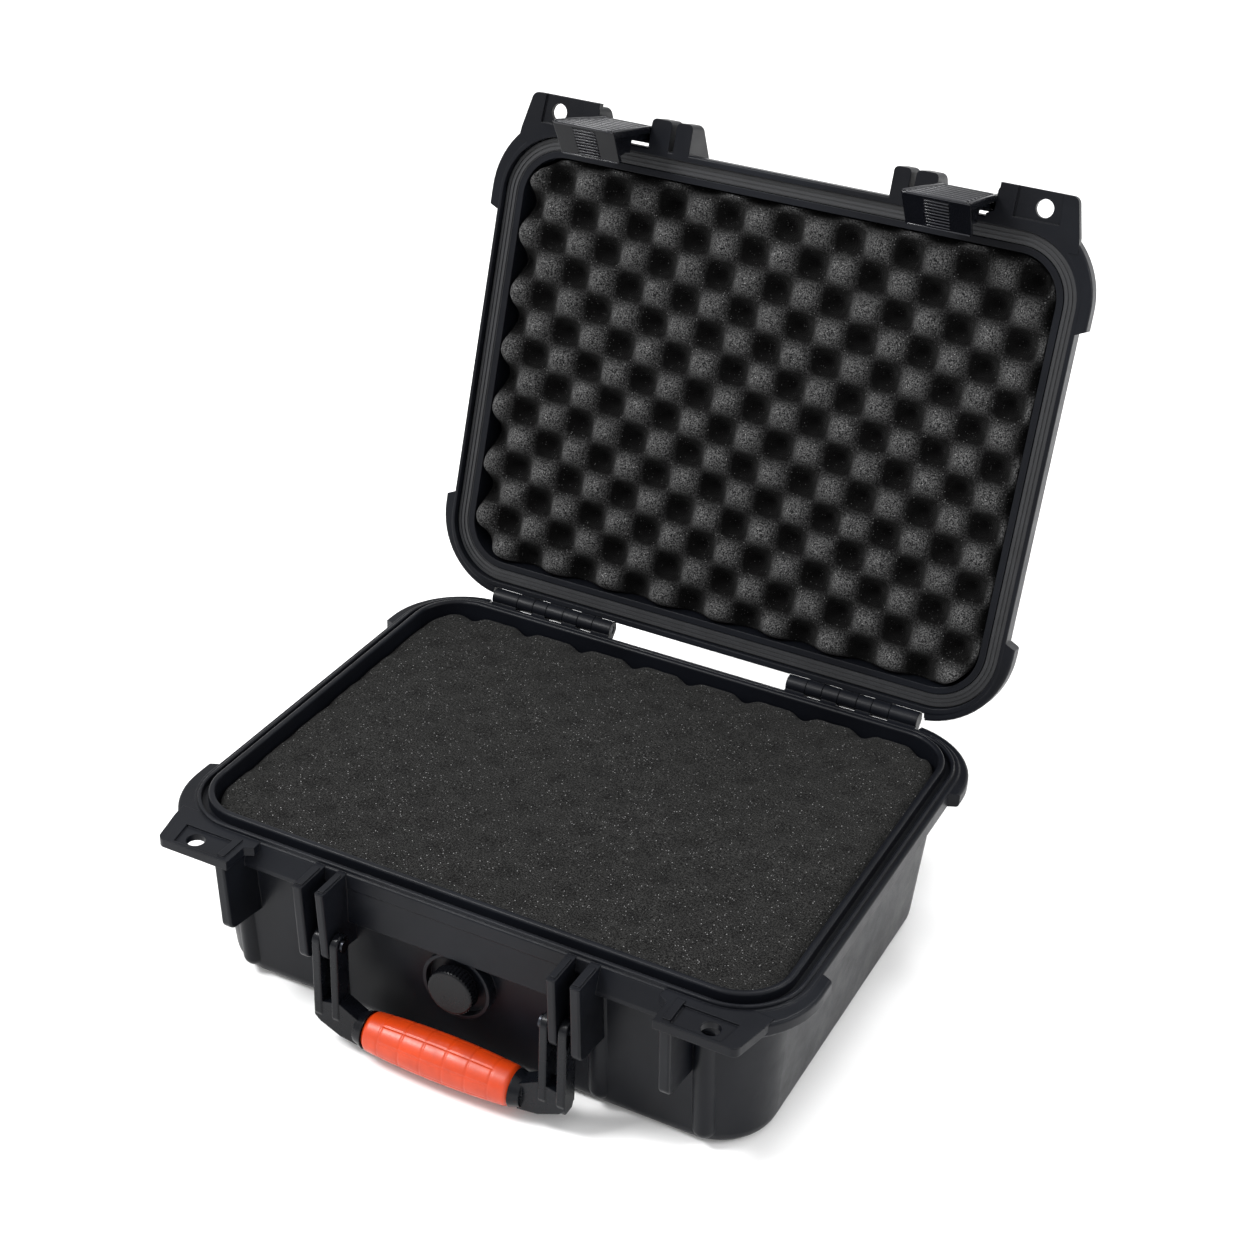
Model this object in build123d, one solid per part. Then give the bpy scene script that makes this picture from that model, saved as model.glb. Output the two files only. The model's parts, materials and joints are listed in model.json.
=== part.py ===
"""Hard equipment case, shown open: a deep base and a shallower lid on a back hinge, two swing-over
latches on the lid, a folding front handle, a purge valve, and foam in both halves.

Millimetres, +Z up, +X to the right, -Y towards the front. The origin is the centre of the flat
underside. Lid parts are drawn closed and then swung open about the hinge, because the case rests open.
"""
from build123d import *
import os
from math import atan2, cos, degrees, hypot, radians, sin

# ---------------------------------------------------------------- driving dimensions
PARTING_Z = 95.0            # height of the plane where base and lid meet
CASE_HEIGHT = 152.0         # closed height
WALL = 3.4                  # moulded wall
LID_DRAFT = 2.0             # degrees of draft on the lid walls

FLOOR_HALF = (148.2, 112.5)         # outside of the base at its floor
RIM_HALF = (154.0, 121.0)           # outside of the walls at the parting plane
WALL_CORNER_R = 30.0        # vertical corners of the walls
BASE_EDGE_R = 9.0           # rounding round the floor
LID_EDGE_R = 12.0           # rounding round the lid's top

FLANGE_HALF_X = 163.3       # rim flange, half length
FLANGE_FRONT_Y = 124.8      # base flange, front edge
FLANGE_BACK_Y = 127.0       # base flange, back edge
LID_FLANGE_Y = 127.8        # lid flange, front and back
FLANGE_CORNER_R = 36.0
FLANGE_T = 8.0              # base flange thickness
LID_FLANGE_T = 10.5
FLANGE_TOP = PARTING_Z - 1.0
LID_RIM_Z = PARTING_Z + 0.2

TONGUE_HALF = (155.0, 118.2)        # outside of the sealing tongue
TONGUE_W = 3.4
TONGUE_R = 27.5
TONGUE_TOP = PARTING_Z + 3.3
BEAD_OFFSET = 5.4                   # outer bead, outside edge beyond the tongue
BEAD_W = 2.2
BEAD_TOP = PARTING_Z + 0.8
SEAL_INNER, SEAL_OUTER = -1.2, 6.2  # lid groove edges, measured from the tongue's outside
SEAL_FLOOR = PARTING_Z + 7.6
LIP_W = 3.2                         # lid inner lip
LIP_Z = PARTING_Z + 3.7

BUMPER_HALF_X = 168.5
BUMPER_BACK_Y, BUMPER_FRONT_Y = 132.0, 136.6
BUMPER_R = 45.0
BUMPER_END_X = 133.0                # where the back bumpers start; the front pair starts at the ears
BUMPER_END_Y = 84.0                 # where it starts on the sides

RIB_FRONT_Y = -144.6
RIB_FOOT_Y = -141.3                 # the front of a rib leans in towards its foot
RIB_BOTTOM_Z = PARTING_Z - 45.0
HANDLE_RIB_BOTTOM_Z = PARTING_Z - 41.5
OUTER_RIB = (113.9, 119.5)          # |x| of the three ribs on each side of the front
LATCH_RIB = (70.2, 75.3)
HANDLE_RIB = (58.5, 63.0)
EAR_IN_X, EAR_STEP_X, EAR_OUT_X = 107.0, 111.4, 155.5
EAR_TIP_X = 151.0
EAR_FRONT_Y = -145.2
EAR_T = 4.6
PADLOCK_X, PADLOCK_Y, PADLOCK_R = 135.2, -136.6, 4.6
CATCH_BOTTOM_Z = PARTING_Z - 14.5   # lower edge of the latch catch
CATCH_FRONT_Y = -128.4
BAND_BOTTOM_Z = PARTING_Z - 30.0    # raised band above the valve
COLUMN_X = (71.0, 124.5)            # half-round stiffening columns
COLUMN_R = 5.8
COLUMN_PROUD = 3.0
COLUMN_FOOT_Z = 11.0

HINGE_Y, HINGE_Z = 132.2, PARTING_Z + 0.6
KNUCKLE_R = 4.6
KNUCKLE_CLEAR = 0.4                 # room round a barrel where the other half passes it
HINGE_PIN_R = 2.0
RUNNING = 0.08                      # radial clearance of a turning fit
SIDE_GAP = 0.3                      # end clearance between neighbours that turn
KNUCKLE_EDGES = (53.0, 64.3, 73.6, 82.8, 93.3, 101.7, 111.7, 127.5)
OPEN_ANGLE = 106.5                  # degrees from closed to fully open

LATCH_X = 95.2
LATCH_PIVOT = (-133.6, PARTING_Z + 14.5)
LATCH_PIN_R = 2.0
LATCH_BARREL_R = 4.6
LATCH_TOP_HALF = 15.0               # half width at the pivot
LATCH_END_HALF = 17.6               # half width at the free edge
LATCH_T = 2.6
LATCH_SHOULDER = (-138.6, PARTING_Z + 9.0)
LATCH_EDGE = (-135.0, PARTING_Z - 48.5)
LATCH_TAIL = (-118.9, PARTING_Z - 33.6)
LID_RIB_A = (68.0, 79.6)
LID_RIB_B = (56.0, 65.2)
LID_RIB_C = (110.8, 117.0)
LID_RIB_FRONT_Y = -143.4
LID_RIB_NOSE_Z = PARTING_Z + 13.5   # full depth up to here, then sloping back to the wall
LID_RIB_TOP_Z = PARTING_Z + 34.0

HANDLE_PIVOT = (-136.2, PARTING_Z - 33.0)
HANDLE_PIN_R = 2.0
TINE_HALF_W = 5.2
INNER_TINE = (53.9, 58.1)
OUTER_TINE = (63.4, 68.0)
GRIP_Z = PARTING_Z - 78.6
GRIP_HALF = 40.0
GRIP_R_END, GRIP_R_MID = 10.0, 11.8
CORE_R = 6.2

VALVE_Z = PARTING_Z - 45.0
VALVE_KNOB_R = 12.0
VALVE_POCKET_R = 16.2
VALVE_POCKET_FLOOR_Y = -119.0
STEM_R = 5.9
STUB_R = 3.0
O_RING_T = 1.2
NUT_R, NUT_T = 9.0, 1.8

FOAM_GAP = 0.5                      # foam to wall
FOAM_TOP_Z = PARTING_Z - 2.0
FOAM_LAYERS = {"foam_base_pad": 12.0, "foam_middle_layer": 36.0}
LID_FOAM_FACE_Z = PARTING_Z - 1.0


# ---------------------------------------------------------------- shared helpers
def slab(half_x, half_y, corner, z0, z1, taper=0.0, y_mid=0.0):
    """Rounded rectangle from z0 to z1; a positive taper narrows it upwards."""
    outline = Pos(0, y_mid, z0) * RectangleRounded(2 * half_x, 2 * half_y, corner)
    return extrude(outline, amount=z1 - z0, taper=taper)


def ring(outer_offset, width, z0, z1, soften=0.0):
    """Rim that follows the sealing tongue, outer_offset beyond the tongue's outside."""
    a, b, r = TONGUE_HALF[0] + outer_offset, TONGUE_HALF[1] + outer_offset, TONGUE_R + outer_offset
    rim = slab(a, b, r, z0, z1) - slab(a - width, b - width, r - width, z0 - 1, z1 + 1)
    if soften:
        rim = fillet(rim.faces().sort_by(Axis.Z)[-1].edges(), soften)
    return rim


def prism_x(points, x0, x1):
    """Side profile of (y, z) points, drawn across from x0 to x1."""
    low, high = min(x0, x1), max(x0, x1)
    return extrude(Plane.YZ.offset(low) * Polygon(*points, align=None), amount=high - low, dir=(1, 0, 0))


def prism_z(points, z0, z1):
    """Plan outline of (x, y) points, from z0 to z1."""
    return extrude(Plane.XY.offset(z0) * Polygon(*points, align=None), amount=z1 - z0, dir=(0, 0, 1))


def rod_x(y, z, radius, x0, x1):
    """Cylinder along X."""
    return Pos((x0 + x1) / 2, y, z) * Rot(0, 90, 0) * Cylinder(radius, abs(x1 - x0))


def rod_y(x, z, radius, y0, y1):
    """Cylinder along Y."""
    return Pos(x, (y0 + y1) / 2, z) * Rot(90, 0, 0) * Cylinder(radius, abs(y1 - y0))


def both_sides(shape):
    """A shape and its mirror image in the YZ plane."""
    return shape + mirror(shape, about=Plane.YZ)


def swing_open(shape):
    """Turn a closed lid part to the open rest position."""
    axis = Axis((0, HINGE_Y, HINGE_Z), (1, 0, 0))
    return shape.rotate(axis, -OPEN_ANGLE)


def soft_edges(shape, picker, radius):
    """Round the edges that picker keeps."""
    edges = [e for e in shape.edges() if picker(e)]
    return fillet(edges, radius) if edges else shape


def wall_half(z):
    """Outside half length and half depth of the base wall at a height."""
    share = z / PARTING_Z
    return tuple(foot + (rim - foot) * share for foot, rim in zip(FLOOR_HALF, RIM_HALF))


def drafted_block(z0, z1, inset=0.0):
    """Block that follows the drafted base wall, set in from its outside."""
    sections = []
    for z in (z0, z1):
        half_x, half_y = wall_half(z)
        sections.append(Pos(0, 0, z) * RectangleRounded(
            2 * (half_x - inset), 2 * (half_y - inset), WALL_CORNER_R - inset))
    return loft(sections)


# ---------------------------------------------------------------- shared outlines
def bumper_corner(half_y, end_x, z0, z1):
    """One swollen corner at +X +Y, between its two ends."""
    half_x = BUMPER_HALF_X
    body = slab(half_x, half_y, BUMPER_R, z0, z1)
    body = fillet(body.faces().sort_by(Axis.Z)[0].edges() + body.faces().sort_by(Axis.Z)[-1].edges(), 1.6)
    far = 190.0
    zone = prism_z(
        [(100, 60), (BUMPER_END_X + 20, BUMPER_END_Y - 6), (half_x - 5, BUMPER_END_Y - 4),
         (far, BUMPER_END_Y + 8), (far, far), (end_x + 8, far), (end_x - 4, half_y - 5),
         (end_x - 8, 100)], z0, z1)
    return body & zone


def bumpers(z0, z1):
    """All four swollen corners; the front pair stands out further."""
    back = bumper_corner(BUMPER_BACK_Y, BUMPER_END_X, z0, z1)
    front = mirror(bumper_corner(BUMPER_FRONT_Y, EAR_TIP_X, z0, z1), about=Plane.XZ)
    return both_sides(back) + both_sides(front)


def ear(z0, z1):
    """Padlock ear at +X: a plate with a slanted outer edge, stepped clear of the latch."""
    plate = prism_z([(EAR_IN_X, -118), (EAR_OUT_X + 1, -118), (EAR_OUT_X, -126), (EAR_TIP_X, EAR_FRONT_Y),
                     (EAR_STEP_X, EAR_FRONT_Y), (EAR_STEP_X, -131.5), (EAR_IN_X, -129.2)], z0, z1)
    outer = [e for e in plate.edges()
             if e.bounding_box().size.Z > 1 and e.center().Y < -140 and e.center().X > 140]
    return fillet(outer, 4.0)


def padlock_hole(z0, z1):
    return Pos(PADLOCK_X, PADLOCK_Y, (z0 + z1) / 2) * Cylinder(PADLOCK_R, z1 - z0)


# ---------------------------------------------------------------- base
def base_tub():
    """Drafted tub with a rounded floor and half-round columns down the front."""
    tub = drafted_block(0, FLANGE_TOP - FLANGE_T + 4)
    tub = soft_edges(tub, lambda e: e.bounding_box().max.Z < 0.01, BASE_EDGE_R)
    for x in COLUMN_X:
        tub += both_sides(column(x))
    return tub


def column(x):
    """Stiffener standing proud of the front wall, with a ball foot."""
    head_z = PARTING_Z - 22
    foot_y, head_y = (-(wall_half(z)[1] + COLUMN_PROUD - COLUMN_R) for z in (COLUMN_FOOT_Z, head_z))
    rise, lean = head_z - COLUMN_FOOT_Z, foot_y - head_y
    middle = Pos(x, (foot_y + head_y) / 2, (COLUMN_FOOT_Z + head_z) / 2)
    shaft = middle * Rot(degrees(atan2(lean, rise)), 0, 0) * Cylinder(COLUMN_R, hypot(rise, lean))
    return shaft + Pos(x, foot_y, COLUMN_FOOT_Z) * Sphere(COLUMN_R)


def base_cavity():
    """Space for the foam, wider below the rim than at the mouth."""
    mouth = slab(TONGUE_HALF[0] - TONGUE_W, TONGUE_HALF[1] - TONGUE_W, TONGUE_R - TONGUE_W,
                 PARTING_Z - 12, PARTING_Z + 10)
    well = drafted_block(WALL, PARTING_Z - 9, inset=WALL)
    well = soft_edges(well, lambda e: e.bounding_box().max.Z < WALL + 0.01, 6.0)
    return well + mouth


def front_rib(span, bottom):
    """One upright rib at +X that leans in towards a rounded foot, with a raised pad on top."""
    x0, x1 = span
    top = FLANGE_TOP
    rib = prism_x([(-114, top), (RIB_FRONT_Y, top), (RIB_FOOT_Y, bottom), (-113, bottom - 4)], x0, x1)
    rib = soft_edges(rib, lambda e: e.bounding_box().size.X > 1 and e.center().Y < -138
                     and e.center().Z < PARTING_Z - 30, 5.0)
    rib = soft_edges(rib, lambda e: e.bounding_box().size.Z > 20 and e.center().Y < -138, 1.2)
    pad_x, pad_y = (x0 + x1) / 2, RIB_FRONT_Y + 9.7
    return rib + Pos(pad_x, pad_y, top) * Box(x1 - x0 - 1.6, 15, 1.6)


def catch_band():
    """Sloped lip between the outer rib and the latch rib, where the latch hooks on."""
    outline = [(-114, FLANGE_TOP - 1), (-FLANGE_FRONT_Y, FLANGE_TOP - 1.2), (CATCH_FRONT_Y, CATCH_BOTTOM_Z + 2.4),
               (CATCH_FRONT_Y, CATCH_BOTTOM_Z), (-114, CATCH_BOTTOM_Z)]
    return prism_x(outline, LATCH_RIB[1] - 1, OUTER_RIB[0] + 1)


def valve_band():
    """Raised band across the middle of the front, above the valve."""
    half = HANDLE_RIB[0] + 1
    return prism_x([(-114, FLANGE_TOP - 1), (-124.4, FLANGE_TOP - 1.4), (-124.2, BAND_BOTTOM_Z + 1),
                    (-123.2, BAND_BOTTOM_Z), (-114, BAND_BOTTOM_Z)], -half, half)


def base_hinge_knuckle(x0, x1):
    """Barrel and arm on the back of the base."""
    arm = prism_x([(118, FLANGE_TOP - 0.6), (126.4, FLANGE_TOP - 0.2), (HINGE_Y, HINGE_Z),
                   (HINGE_Y + 2.8, HINGE_Z - 3.6), (127, HINGE_Z - 12), (118, HINGE_Z - 17)], x0, x1)
    return arm + rod_x(HINGE_Y, HINGE_Z, KNUCKLE_R, x0, x1)


def make_base_shell():
    shell = base_tub()
    y_mid = (FLANGE_BACK_Y - FLANGE_FRONT_Y) / 2
    half_y = (FLANGE_BACK_Y + FLANGE_FRONT_Y) / 2
    flange = slab(FLANGE_HALF_X, half_y, FLANGE_CORNER_R, FLANGE_TOP - FLANGE_T, FLANGE_TOP, y_mid=y_mid)
    flange = fillet(flange.faces().sort_by(Axis.Z)[-1].edges(), 1.2)
    shell += flange
    shell += bumpers(FLANGE_TOP - FLANGE_T, FLANGE_TOP - 0.6)
    shell += both_sides(ear(FLANGE_TOP - EAR_T, FLANGE_TOP))
    for span in (OUTER_RIB, LATCH_RIB):
        shell += both_sides(front_rib(span, RIB_BOTTOM_Z))
    shell += both_sides(front_rib(HANDLE_RIB, HANDLE_RIB_BOTTOM_Z))
    shell += both_sides(catch_band())
    shell += valve_band()
    shell += rod_y(0, VALVE_Z, VALVE_POCKET_R + 1.8, -123.4, -115)
    for x0, x1 in zip(KNUCKLE_EDGES[0::2], KNUCKLE_EDGES[1::2]):
        shell += both_sides(base_hinge_knuckle(x0 + SIDE_GAP / 2, x1 - SIDE_GAP / 2))
    shell += ring(BEAD_OFFSET, BEAD_W, FLANGE_TOP - 3, BEAD_TOP, soften=0.9)
    shell += ring(0, TONGUE_W, FLANGE_TOP - 9, TONGUE_TOP, soften=1.3)
    shell -= ring(BEAD_OFFSET - BEAD_W, BEAD_OFFSET - BEAD_W, FLANGE_TOP - 1.6, FLANGE_TOP + 6)
    shell -= base_cavity()
    shell -= rod_y(0, VALVE_Z, VALVE_POCKET_R, -130, VALVE_POCKET_FLOOR_Y)
    shell -= rod_y(0, VALVE_Z, STEM_R + 0.1, -125, -105)
    low, high = FLANGE_TOP - EAR_T - 1, FLANGE_TOP + 1
    pocket = prism_z([(118.5, -129.5), (145.5, -129.5), (143.0, EAR_FRONT_Y + 2), (118.5, EAR_FRONT_Y + 2)],
                     FLANGE_TOP - 1.1, high)
    shell -= both_sides(pocket + padlock_hole(low, high))
    pin_hole = rod_x(HINGE_Y, HINGE_Z, HINGE_PIN_R, KNUCKLE_EDGES[0] - 1, KNUCKLE_EDGES[-1] - 2.5)
    shell -= both_sides(pin_hole)
    shell -= both_sides(rod_x(*HANDLE_PIVOT, HANDLE_PIN_R, HANDLE_RIB[0] - 1, HANDLE_RIB[1] + 1))
    return shell


# ---------------------------------------------------------------- lid, drawn closed
def lid_rib(span):
    """Upright rib on the front of the lid at +X: deep at the rim, then sloping back to the wall."""
    x0, x1 = span
    rib = prism_x([(-117, LID_RIM_Z), (LID_RIB_FRONT_Y, LID_RIM_Z), (LID_RIB_FRONT_Y, LID_RIB_NOSE_Z),
                   (-119.5, LID_RIB_TOP_Z), (-117, LID_RIB_TOP_Z)], x0, x1)
    upright = [e for e in rib.edges() if e.bounding_box().size.Z > 5 and e.center().Y < LID_RIB_FRONT_Y + 0.1]
    return fillet(upright, 2.6)


def lid_hinge_knuckle(x0, x1):
    """Barrel and arm off the lid's back rim."""
    arm = prism_x([(124, LID_RIM_Z + 0.5), (127.4, LID_RIM_Z + 0.5), (HINGE_Y, HINGE_Z),
                   (HINGE_Y + 2.8, HINGE_Z + 3.6), (129.6, HINGE_Z + 8.6), (124, HINGE_Z + 8.6)], x0, x1)
    return arm + rod_x(HINGE_Y, HINGE_Z, KNUCKLE_R, x0, x1)


def make_lid_shell():
    flange_top = LID_RIM_Z + LID_FLANGE_T
    shell = slab(*RIM_HALF, WALL_CORNER_R, LID_RIM_Z + 2, CASE_HEIGHT - 1.2, taper=LID_DRAFT)
    shell = soft_edges(shell, lambda e: e.bounding_box().min.Z > CASE_HEIGHT - 1.5, LID_EDGE_R)
    panel = slab(118, 84, 18, CASE_HEIGHT - 3, CASE_HEIGHT, taper=20)
    shell += panel
    flange = slab(FLANGE_HALF_X, LID_FLANGE_Y, FLANGE_CORNER_R, LID_RIM_Z, flange_top)
    flange = fillet(flange.faces().sort_by(Axis.Z)[0].edges(), 1.0)
    shell += flange
    shell += bumpers(LID_RIM_Z + 0.3, flange_top)
    shell += both_sides(ear(LID_RIM_Z, LID_RIM_Z + EAR_T))
    for span in (LID_RIB_A, LID_RIB_B, LID_RIB_C):
        shell += both_sides(lid_rib(span))
    for x0, x1 in zip(KNUCKLE_EDGES[0::2], KNUCKLE_EDGES[1::2]):
        shell -= both_sides(rod_x(HINGE_Y, HINGE_Z, KNUCKLE_R + KNUCKLE_CLEAR, x0 - SIDE_GAP, x1 + SIDE_GAP))
    for x0, x1 in zip(KNUCKLE_EDGES[1:-1:2], KNUCKLE_EDGES[2:-1:2]):
        shell += both_sides(lid_hinge_knuckle(x0 + SIDE_GAP / 2, x1 - SIDE_GAP / 2))
    cavity = slab(TONGUE_HALF[0] + SEAL_INNER - LIP_W, TONGUE_HALF[1] + SEAL_INNER - LIP_W,
                  TONGUE_R + SEAL_INNER - LIP_W, PARTING_Z - 5, CASE_HEIGHT - 1.2 - WALL, taper=LID_DRAFT)
    shell -= soft_edges(cavity, lambda e: e.bounding_box().min.Z > CASE_HEIGHT - 6, 8.0)
    shell -= ring(SEAL_OUTER, SEAL_OUTER - SEAL_INNER, PARTING_Z - 5, SEAL_FLOOR)
    shell -= ring(SEAL_INNER + 0.1, LIP_W + 1, PARTING_Z - 5, LIP_Z)
    low, high = LID_RIM_Z - 1, LID_RIM_Z + EAR_T + 1
    pocket = prism_z([(120.5, -130), (144.5, -130), (142.5, -160), (120.5, -160)], low, LID_RIM_Z + 1.4)
    shell -= both_sides(pocket + padlock_hole(low, high))
    shell -= both_sides(rod_x(HINGE_Y, HINGE_Z, HINGE_PIN_R + RUNNING, 50, 130))
    shell -= both_sides(rod_x(*LATCH_PIVOT, LATCH_PIN_R, LID_RIB_A[0] + 3, LID_RIB_C[1] - 2))
    return shell


def make_lid_gasket():
    """Seal strip with three raised beads on its face."""
    gap = 0.35
    face = TONGUE_TOP + 0.9
    width = SEAL_OUTER - SEAL_INNER - 2 * gap
    seal = ring(SEAL_OUTER - gap, width, face, SEAL_FLOOR)
    for step in (0.5, 2.65, 4.8):
        seal += ring(SEAL_OUTER - gap - step, 1.3, face - 0.6, face + 0.1)
    return seal


# ---------------------------------------------------------------- latches, drawn closed
def latch_profile():
    """Outer skin of the latch, from the pivot down the face and back along the finger lip."""
    t = LATCH_T
    (sy, sz), (ey, ez), (ty, tz) = LATCH_SHOULDER, LATCH_EDGE, LATCH_TAIL
    py, pz = LATCH_PIVOT
    return [(py - LATCH_BARREL_R, pz), (sy, sz), (ey, ez), (ty, tz), (ty - 1.6, tz + 2.0),
            (ey + t + 0.4, ez + t + 1.4),
            (sy + t, sz), (py - LATCH_BARREL_R + t, pz)]


def make_latch():
    """Right-hand latch: face plate, finger lip, two inset webs, hook and barrel."""
    x0, x1 = LATCH_X - LATCH_END_HALF, LATCH_X + LATCH_END_HALF
    skin = prism_x(latch_profile(), x0, x1)
    top, end = LATCH_SHOULDER[1], LATCH_EDGE[1]
    for side in (-1, 1):
        narrow, wide = LATCH_X + side * LATCH_TOP_HALF, LATCH_X + side * LATCH_END_HALF
        out = LATCH_X + side * (LATCH_END_HALF + 10)
        trim = Plane.XZ * Polygon((narrow, top + 30), (narrow, top), (wide, end), (out, end), (out, top + 30),
                                  align=None)
        skin -= extrude(trim, amount=200, both=True)
    py, pz = LATCH_PIVOT
    web = [(py - 3, pz), (py + 2.6, pz - 3), (-130.8, PARTING_Z - 8), (-130.8, CATCH_BOTTOM_Z - 0.7),
           (-124.4, CATCH_BOTTOM_Z - 0.7), (-124.4, CATCH_BOTTOM_Z - 6), (LATCH_TAIL[0] - 1.5, LATCH_TAIL[1] + 1.4),
           (LATCH_EDGE[0] + 2, LATCH_EDGE[1] + 2.2), (LATCH_SHOULDER[0] + 1.2, LATCH_SHOULDER[1])]
    body = skin
    for side in (-1, 1):
        inner = LATCH_X + side * (LATCH_TOP_HALF - 4.6)
        body += prism_x(web, inner, inner + side * 2.4)
    hook = [(-136.2, CATCH_BOTTOM_Z - 0.7), (-124.4, CATCH_BOTTOM_Z - 0.7), (-124.4, CATCH_BOTTOM_Z - 4),
            (-134.4, CATCH_BOTTOM_Z - 8)]
    body += prism_x(hook, LATCH_X - LATCH_TOP_HALF + 2.4, LATCH_X + LATCH_TOP_HALF - 2.4)
    body += rod_x(py, pz, LATCH_BARREL_R, LATCH_X - LATCH_TOP_HALF, LATCH_X + LATCH_TOP_HALF)
    body -= rod_x(py, pz, LATCH_PIN_R + RUNNING, LATCH_X - 30, LATCH_X + 30)
    return latch_grooves(body)


def latch_grooves(body):
    """Eight cross grooves on the face and a block of fine lines on the finger lip."""
    (sy, sz), (ey, ez), (ty, tz) = LATCH_SHOULDER, LATCH_EDGE, LATCH_TAIL
    for i in range(8):
        share = (i + 0.75) / 8.4
        y, z = sy + (ey - sy) * share, sz + (ez - sz) * share
        body -= prism_x([(y - 0.6, z + 1.2), (y + 0.75, z), (y - 0.6, z - 1.2)], LATCH_X - 30, LATCH_X + 30)
    for i in range(9):
        share = (i + 1.2) / 10.5
        y, z = ey + (ty - ey) * share, ez + (tz - ez) * share
        body -= prism_x([(y - 0.6, z - 0.25), (y + 0.15, z + 0.45), (y + 0.6, z - 0.2), (y, z - 0.8)],
                        LATCH_X - 6.5, LATCH_X + 6.5)
    return body


def make_latch_pin():
    """Steel pin through the latch and the lid ribs at +X."""
    return rod_x(*LATCH_PIVOT, LATCH_PIN_R, LID_RIB_A[0] + 3, LID_RIB_C[1] - 2)


# ---------------------------------------------------------------- handle
def tine(span):
    """One leg of the fork, rounded at the pin."""
    x0, x1 = span
    py, pz = HANDLE_PIVOT
    leg = prism_x([(py - TINE_HALF_W, pz), (py + TINE_HALF_W, pz), (py + TINE_HALF_W, GRIP_Z + 4),
                   (py + TINE_HALF_W - 2, GRIP_Z - 2), (py - TINE_HALF_W + 2, GRIP_Z - 2), (py - TINE_HALF_W, GRIP_Z + 4)],
                  x0, x1)
    leg += rod_x(py, pz, TINE_HALF_W, x0, x1)
    leg = fillet(leg.faces().sort_by(Axis.X)[0].edges() + leg.faces().sort_by(Axis.X)[-1].edges(), 0.9)
    return leg - rod_x(py, pz, HANDLE_PIN_R + RUNNING, x0 - 1, x1 + 1)


def handle_arm():
    """Fork, bridge and tapered collar at +X."""
    py = HANDLE_PIVOT[0]
    arm = tine(INNER_TINE) + tine(OUTER_TINE)
    bridge = Plane.XZ.offset(-(py + TINE_HALF_W - 0.6)) * Polygon(
        (OUTER_TINE[1], GRIP_Z + 10), (INNER_TINE[0], GRIP_Z + 13), (GRIP_HALF + 3, GRIP_Z + 7), (GRIP_HALF + 3, GRIP_Z - 8),
        (INNER_TINE[0], GRIP_Z - 6.5), (OUTER_TINE[1] - 3, GRIP_Z - 1.5), (OUTER_TINE[1], GRIP_Z + 1.5), align=None)
    arm += extrude(bridge, amount=2 * TINE_HALF_W - 1.2)
    collar = Pos(GRIP_HALF + 2.6, py, GRIP_Z) * Rot(0, 90, 0) * Cone(GRIP_R_END - 0.5, GRIP_R_END - 2.2, 5.2)
    return arm + collar


def make_handle_frame():
    core = rod_x(HANDLE_PIVOT[0], GRIP_Z, CORE_R, -GRIP_HALF - 4, GRIP_HALF + 4)
    return core + both_sides(handle_arm())


def make_handle_grip():
    """Barrel sleeve, fatter in the middle, closed round the core."""
    outline = Plane.XY * make_face(
        [Line((-GRIP_HALF, CORE_R), (GRIP_HALF, CORE_R)), Line((GRIP_HALF, CORE_R), (GRIP_HALF, GRIP_R_END)),
         ThreePointArc((GRIP_HALF, GRIP_R_END), (0, GRIP_R_MID), (-GRIP_HALF, GRIP_R_END)),
         Line((-GRIP_HALF, GRIP_R_END), (-GRIP_HALF, CORE_R))])
    sleeve = revolve(outline, axis=Axis.X)
    sleeve = soft_edges(sleeve, lambda e: abs(abs(e.center().X) - GRIP_HALF) < 0.1
                        and e.bounding_box().size.Z > 2 * CORE_R + 2, 1.5)
    return Pos(0, HANDLE_PIVOT[0], GRIP_Z) * sleeve


def make_handle_pin():
    """Headed steel pin through the fork and its rib at +X."""
    pin = rod_x(*HANDLE_PIVOT, HANDLE_PIN_R, INNER_TINE[0] - SIDE_GAP, OUTER_TINE[1] + 0.6)
    return pin + rod_x(*HANDLE_PIVOT, 3.2, INNER_TINE[0] - SIDE_GAP - 1.3, INNER_TINE[0] - SIDE_GAP)


# ---------------------------------------------------------------- purge valve
def make_valve_body():
    """Flanged stem through the front wall, with a stub that the knob turns on."""
    floor = VALVE_POCKET_FLOOR_Y
    body = rod_y(0, VALVE_Z, 8.8, floor - 3.2, floor - O_RING_T)
    body += rod_y(0, VALVE_Z, STEM_R, floor - 1.2, floor + 8.4)
    return body + rod_y(0, VALVE_Z, STUB_R, floor - 8.0, floor - 3.0)


def make_valve_o_ring():
    floor = VALVE_POCKET_FLOOR_Y
    return rod_y(0, VALVE_Z, 8.4, floor - O_RING_T, floor) - rod_y(0, VALVE_Z, STEM_R + 0.4, -125, -115)


def make_valve_nut():
    """Thin hexagon nut on the stem, just inside the wall."""
    inner_wall = -(wall_half(VALVE_Z - NUT_R)[1] - WALL)
    start = inner_wall + SIDE_GAP
    nut = Plane.XZ.offset(-start) * Pos(0, VALVE_Z) * RegularPolygon(NUT_R, 6)
    nut = extrude(nut, amount=-NUT_T)
    return nut - rod_y(0, VALVE_Z, STEM_R, -125, -105)


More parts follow.
